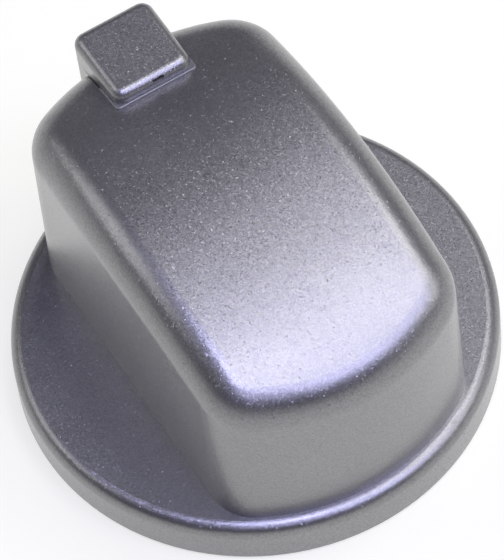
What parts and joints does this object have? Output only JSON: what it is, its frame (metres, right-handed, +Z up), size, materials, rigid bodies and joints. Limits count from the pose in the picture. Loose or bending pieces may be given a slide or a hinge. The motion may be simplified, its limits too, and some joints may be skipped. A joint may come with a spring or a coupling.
{
  "type": "oven knob",
  "caption": "Silver-grey push-on oven knob: round skirt, wide arched grip bar with a square pointer over its far end, and a split hub for a 6 mm D shaft.",
  "frame": {"origin": "on the shaft axis, in the plane of the skirt's rim", "axes": "+Z up along the shaft axis, away from the appliance's panel; +Y towards the pointer; X across the grip bar"},
  "size_m": [0.05, 0.05, 0.029],
  "materials": {
    "silver_paint": "satin metallic silver-grey paint on moulded plastic",
    "pointer_paint": "smoother, glossier silver-grey paint on moulded plastic",
    "spring_steel": "bright rolled spring steel"
  },
  "bodies": {
    "root": {"knob_body": "silver_paint", "pointer_block": "pointer_paint", "hub_band": "spring_steel"}
  },
  "joints": []
}
